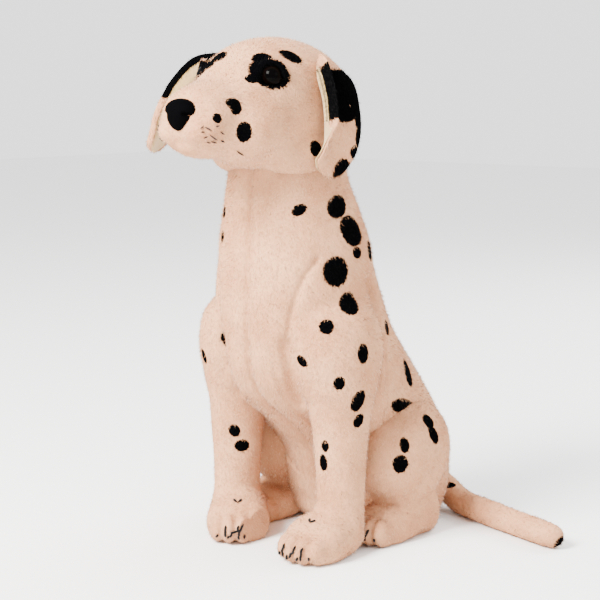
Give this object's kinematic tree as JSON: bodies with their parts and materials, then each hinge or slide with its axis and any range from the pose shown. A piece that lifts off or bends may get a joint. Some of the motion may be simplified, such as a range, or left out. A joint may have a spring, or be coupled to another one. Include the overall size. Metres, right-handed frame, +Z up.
{
  "type": "plush dog",
  "caption": "Seated spotted plush dog with sewn skins over stuffing, safety eyes and nose, and flexing neck, head, ears, legs and tail.",
  "frame": {"origin": "the middle of the flat seat under the rump, on the floor", "axes": "+Z up, -Y the way the dog faces, +X the dog's left"},
  "size_m": [0.3797, 0.3933, 0.4994],
  "materials": {
    "plush": "short soft pile, cream white with black spots",
    "ear_lining": "short cream pile",
    "stuffing": "white polyester fibre",
    "eye": "polished black",
    "nose": "matte black, flocked",
    "washer": "natural moulded plastic"
  },
  "bodies": {
    "torso": {"torso_skin": "plush", "torso_stuffing": "stuffing"},
    "neck": {"neck_skin": "plush", "neck_stuffing": "stuffing"},
    "head": {"head_skin": "plush", "head_stuffing": "stuffing", "nose": "nose", "nose_washer": "washer", "eye_left": "eye", "eye_right": "eye", "eye_washer_left": "washer", "eye_washer_right": "washer"},
    "ear_left": {"ear_left_outer": "plush", "ear_left_lining": "ear_lining"},
    "ear_right": {"ear_right_outer": "plush", "ear_right_lining": "ear_lining"},
    "front_leg_left": {"front_leg_left_skin": "plush", "front_leg_left_stuffing": "stuffing"},
    "front_leg_right": {"front_leg_right_skin": "plush", "front_leg_right_stuffing": "stuffing"},
    "hind_leg_left": {"hind_leg_left_skin": "plush", "hind_leg_left_stuffing": "stuffing"},
    "hind_leg_right": {"hind_leg_right_skin": "plush", "hind_leg_right_stuffing": "stuffing"},
    "tail_base": {"tail_base_skin": "plush", "tail_base_stuffing": "stuffing"},
    "tail_end": {"tail_end_skin": "plush", "tail_end_stuffing": "stuffing"}
  },
  "joints": [
    {"name": "neck_bend", "type": "hinge", "parent": "torso", "child": "neck", "pos_m": [0, -0.12, 0.327], "axis": [1, 0, 0], "range_deg": [-8, 8], "stiffness_Nm_per_rad": 14},
    {"name": "head_turn", "type": "hinge", "parent": "neck", "child": "head", "pos_m": [0, -0.128, 0.378], "axis": [0, 0, 1], "range_deg": [-25, 25], "stiffness_Nm_per_rad": 3},
    {"name": "ear_left_flap", "type": "hinge", "parent": "head", "child": "ear_left", "pos_m": [0.053, -0.14, 0.471], "axis": [0, -1, 0], "range_deg": [0, 35], "stiffness_Nm_per_rad": 0.5},
    {"name": "ear_right_flap", "type": "hinge", "parent": "head", "child": "ear_right", "pos_m": [-0.053, -0.14, 0.471], "axis": [0, 1, 0], "range_deg": [-20, 20], "stiffness_Nm_per_rad": 0.5},
    {"name": "front_leg_left_swing", "type": "hinge", "parent": "torso", "child": "front_leg_left", "pos_m": [0.042, -0.126, 0.2], "axis": [-1, 0, 0], "range_deg": [0, 12], "stiffness_Nm_per_rad": 15},
    {"name": "front_leg_right_swing", "type": "hinge", "parent": "torso", "child": "front_leg_right", "pos_m": [-0.042, -0.126, 0.2], "axis": [-1, 0, 0], "range_deg": [0, 12], "stiffness_Nm_per_rad": 15},
    {"name": "hind_leg_left_lift", "type": "hinge", "parent": "torso", "child": "hind_leg_left", "pos_m": [0.046, 0, 0.062], "axis": [-1, 0, 0], "range_deg": [0, 10], "stiffness_Nm_per_rad": 15},
    {"name": "hind_leg_right_lift", "type": "hinge", "parent": "torso", "child": "hind_leg_right", "pos_m": [-0.046, 0, 0.062], "axis": [-1, 0, 0], "range_deg": [0, 10], "stiffness_Nm_per_rad": 15},
    {"name": "tail_swing", "type": "hinge", "parent": "torso", "child": "tail_base", "pos_m": [0.004, 0.064, 0.042], "axis": [0, 0, 1], "range_deg": [0, 24], "stiffness_Nm_per_rad": 1.5},
    {"name": "tail_curl", "type": "hinge", "parent": "tail_base", "child": "tail_end", "pos_m": [0.11682, 0.04867, 0.01398], "axis": [0, 0, 1], "range_deg": [-18, 18], "stiffness_Nm_per_rad": 1}
  ]
}
